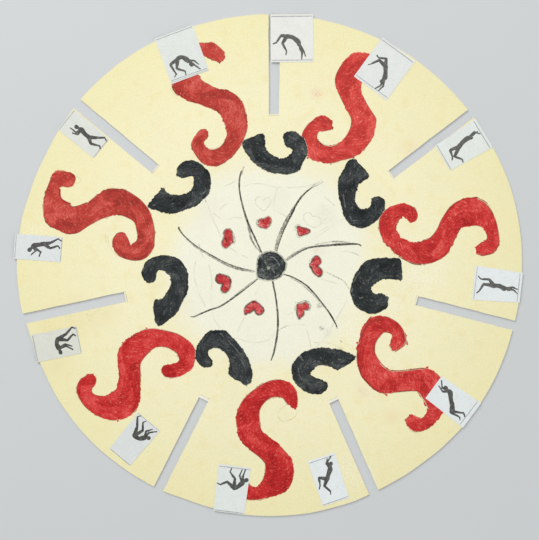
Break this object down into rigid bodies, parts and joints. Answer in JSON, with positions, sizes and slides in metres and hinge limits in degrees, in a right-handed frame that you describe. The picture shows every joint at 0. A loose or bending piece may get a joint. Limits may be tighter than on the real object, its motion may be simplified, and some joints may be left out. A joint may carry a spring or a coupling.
{
  "type": "phenakistoscope disc",
  "caption": "Round slotted card disc of a spinning-picture toy, hand-coloured with scrolls, hooks and hearts, with paper picture slips pasted round the rim and a pin hole to spin on.",
  "frame": {"origin": "axis of the pin hole at the back face of the card", "axes": "+Z along the pin hole's axis, out of the picture face; +Y towards the slip that lies over a slot, which is the top of the picture; +X to the right of it"},
  "size_m": [0.2536, 0.25, 0.0012],
  "materials": {
    "coloured_card": "matt white card with a cream wash, red and black colouring and pencil lines",
    "slip_paper": "matt printer paper with small dark printed figures"
  },
  "bodies": {
    "root": {"card_disc": "coloured_card", "picture_slip_01": "slip_paper", "picture_slip_02": "slip_paper", "picture_slip_03": "slip_paper", "picture_slip_04": "slip_paper", "picture_slip_05": "slip_paper", "picture_slip_06": "slip_paper", "picture_slip_07": "slip_paper", "picture_slip_08": "slip_paper", "picture_slip_09": "slip_paper", "picture_slip_10": "slip_paper", "picture_slip_11": "slip_paper", "picture_slip_12": "slip_paper"}
  },
  "joints": []
}
